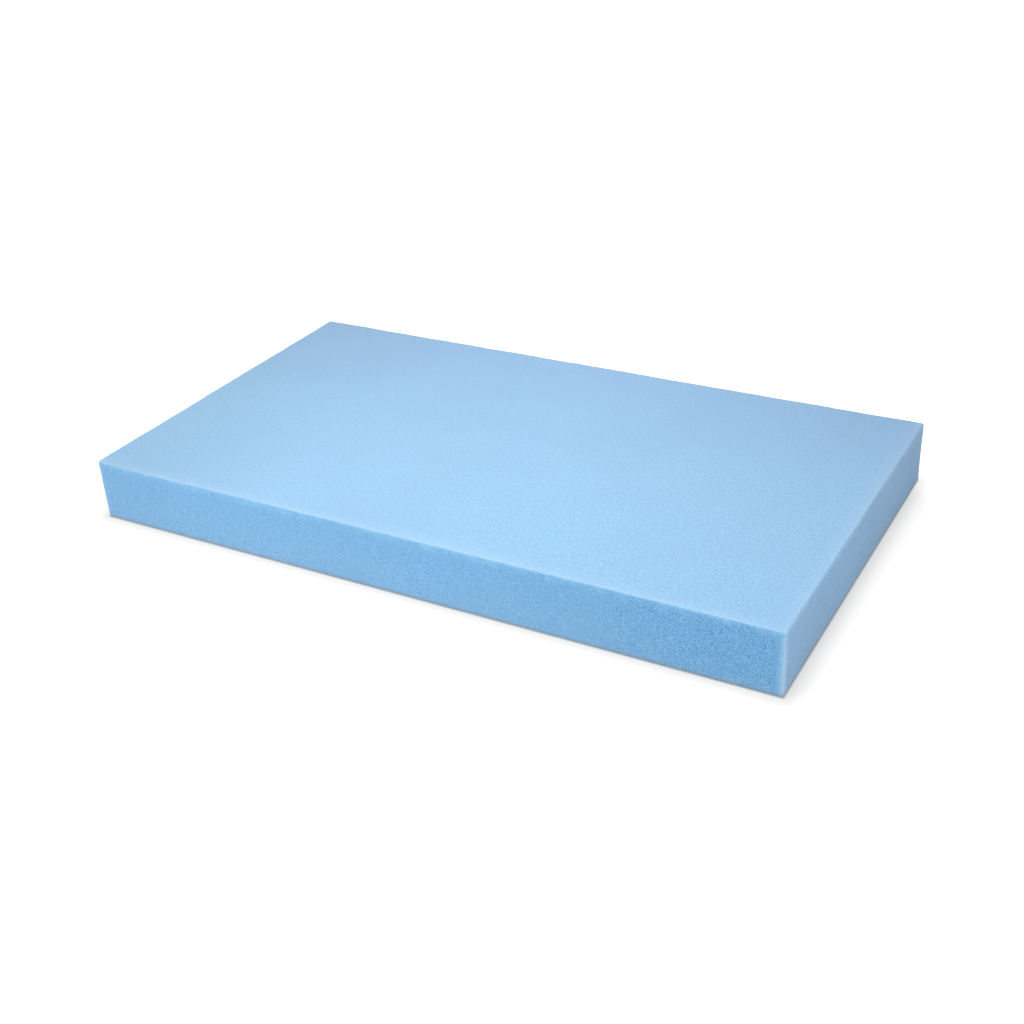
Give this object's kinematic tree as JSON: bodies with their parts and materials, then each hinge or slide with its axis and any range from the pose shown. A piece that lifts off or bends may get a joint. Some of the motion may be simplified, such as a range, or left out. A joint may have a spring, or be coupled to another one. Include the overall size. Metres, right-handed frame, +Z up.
{
  "type": "foam block",
  "caption": "Rectangular slab of soft open-cell foam with knife-cut, barely softened edges, for padding, packing or cutting up on a bench.",
  "frame": {"origin": "centre of the large face that the slab lies on", "axes": "+X along the length, +Y along the width, +Z up through the thickness"},
  "size_m": [0.34, 0.19, 0.03],
  "materials": {
    "foam": "matte"
  },
  "bodies": {
    "root": {"foam_block": "foam"}
  },
  "joints": []
}
